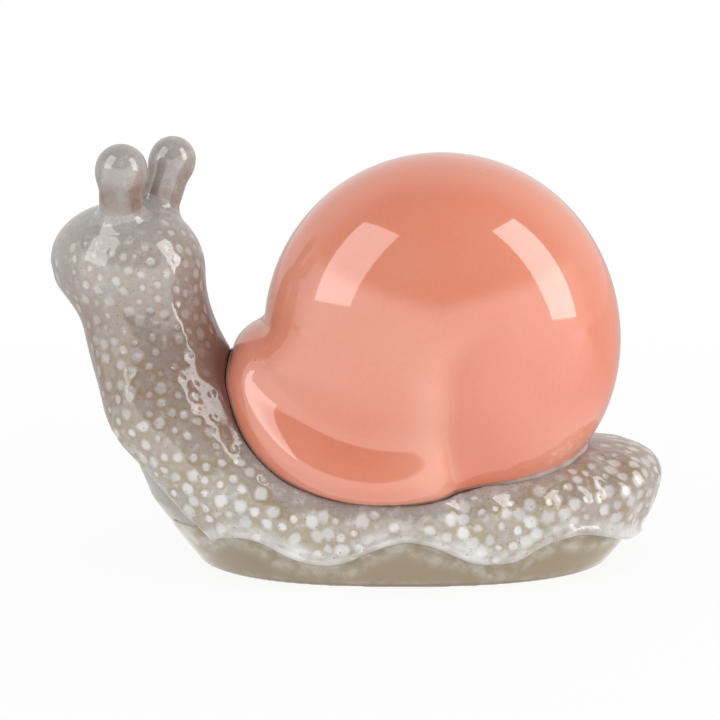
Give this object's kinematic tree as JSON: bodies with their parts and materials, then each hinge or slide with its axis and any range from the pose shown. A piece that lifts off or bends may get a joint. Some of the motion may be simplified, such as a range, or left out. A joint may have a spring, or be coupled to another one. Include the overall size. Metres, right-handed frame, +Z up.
{
  "type": "snail figurine",
  "caption": "Glazed stoneware snail ornament: a spotted grey body with a raised, turned head and knobbed eye stalks, carrying a glossy rounded coral shell. Stands on a flat sole.",
  "frame": {"origin": "middle of the flat underside of the sole", "axes": "+Z up, +X from the head towards the tail, +Y towards the snail's right side"},
  "size_m": [0.1663, 0.0822, 0.1145],
  "materials": {
    "spotted_glaze": "gloss",
    "bare_clay": "satin",
    "coral_glaze": "gloss",
    "bedding_slip": "gloss",
    "stalk_glaze": "gloss"
  },
  "bodies": {
    "root": {"body_casting": "spotted_glaze", "sole_slab": "bare_clay", "shell_casting": "coral_glaze", "shell_bedding": "bedding_slip", "left_eye_stalk": "stalk_glaze", "right_eye_stalk": "stalk_glaze", "stalk_slip": "stalk_glaze"}
  },
  "joints": []
}
